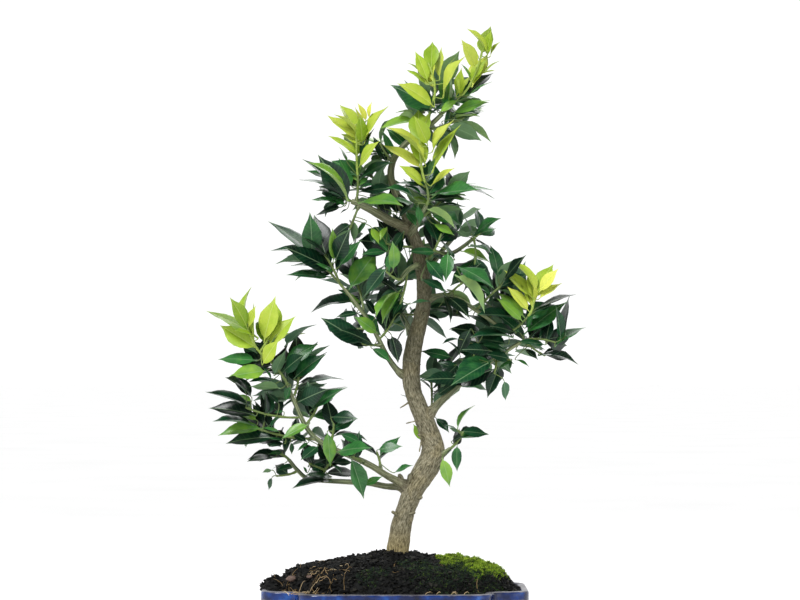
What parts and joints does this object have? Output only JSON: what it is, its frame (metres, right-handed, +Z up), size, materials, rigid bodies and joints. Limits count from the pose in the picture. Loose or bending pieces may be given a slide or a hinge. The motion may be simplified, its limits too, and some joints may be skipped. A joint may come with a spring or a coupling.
{
  "type": "myrtle-leaf orange bonsai",
  "caption": "Small citrus tree trained as a bonsai, with a bent trunk, glossy leaves and lime-green shoot tips, rooted in mounded soil in a lobed blue glazed pot on feet.",
  "frame": {"origin": "on the table, under the middle of the plan of the whole plant and its pot", "axes": "+Z up, +X to the right as the tree's front is seen, +Y away from its front"},
  "size_m": [0.3804, 0.2044, 0.6359],
  "materials": {
    "pot_glaze": "glossy cobalt blue glaze",
    "screen_plastic": "matte",
    "bark_soil": "moist dark bark crumbs",
    "moss": "matte, velvety",
    "bark": "rough, lengthwise cracks",
    "mature_leaf": "waxy, glossy above",
    "young_leaf": "satin"
  },
  "bodies": {
    "root": {"pot": "pot_glaze", "screen_left": "screen_plastic", "screen_right": "screen_plastic", "soil": "bark_soil", "moss_cushion": "moss", "trunk": "bark", "young_top": "young_leaf", "young_top_left": "young_leaf", "young_crown": "young_leaf", "young_crown_left": "young_leaf", "young_right": "young_leaf", "young_lower_left": "young_leaf", "top_main": "mature_leaf", "top_left": "mature_leaf", "top_right": "mature_leaf", "top_back": "mature_leaf", "top_inner": "mature_leaf", "crown_front": "mature_leaf", "crown_side": "mature_leaf", "crown_left_top": "mature_leaf", "crown_left_side": "mature_leaf", "crown_left_back": "mature_leaf", "crown_left_low": "mature_leaf", "upper_left_tip": "mature_leaf", "upper_left_back": "mature_leaf", "left_mid_low": "mature_leaf", "left_mid_front": "mature_leaf", "left_mid_right": "mature_leaf", "centre_front_left": "mature_leaf", "centre_front_low": "mature_leaf", "centre_left": "mature_leaf", "centre_right": "mature_leaf", "back_left_a": "mature_leaf", "back_left_low": "mature_leaf", "back_right_a": "mature_leaf", "right_up_tip": "mature_leaf", "right_mid_tip": "mature_leaf", "right_mid_up": "mature_leaf", "right_mid_inner": "mature_leaf", "right_mid_back": "mature_leaf", "right_low_tip": "mature_leaf", "right_low_drop": "mature_leaf", "right_low_mid": "mature_leaf", "right_low_in": "mature_leaf", "right_low_back": "mature_leaf", "low_shoot": "mature_leaf", "lower_left_tip": "mature_leaf", "lower_left_up": "mature_leaf", "lower_left_out": "mature_leaf", "lower_left_in": "mature_leaf", "lower_left_low": "mature_leaf", "lower_left_mid": "mature_leaf", "lower_left_hang": "mature_leaf", "lower_left_single": "mature_leaf", "lower_left_back": "mature_leaf", "base_left_tip": "mature_leaf", "base_left_low": "mature_leaf", "base_left_mid": "mature_leaf", "low_back": "mature_leaf"}
  },
  "joints": []
}
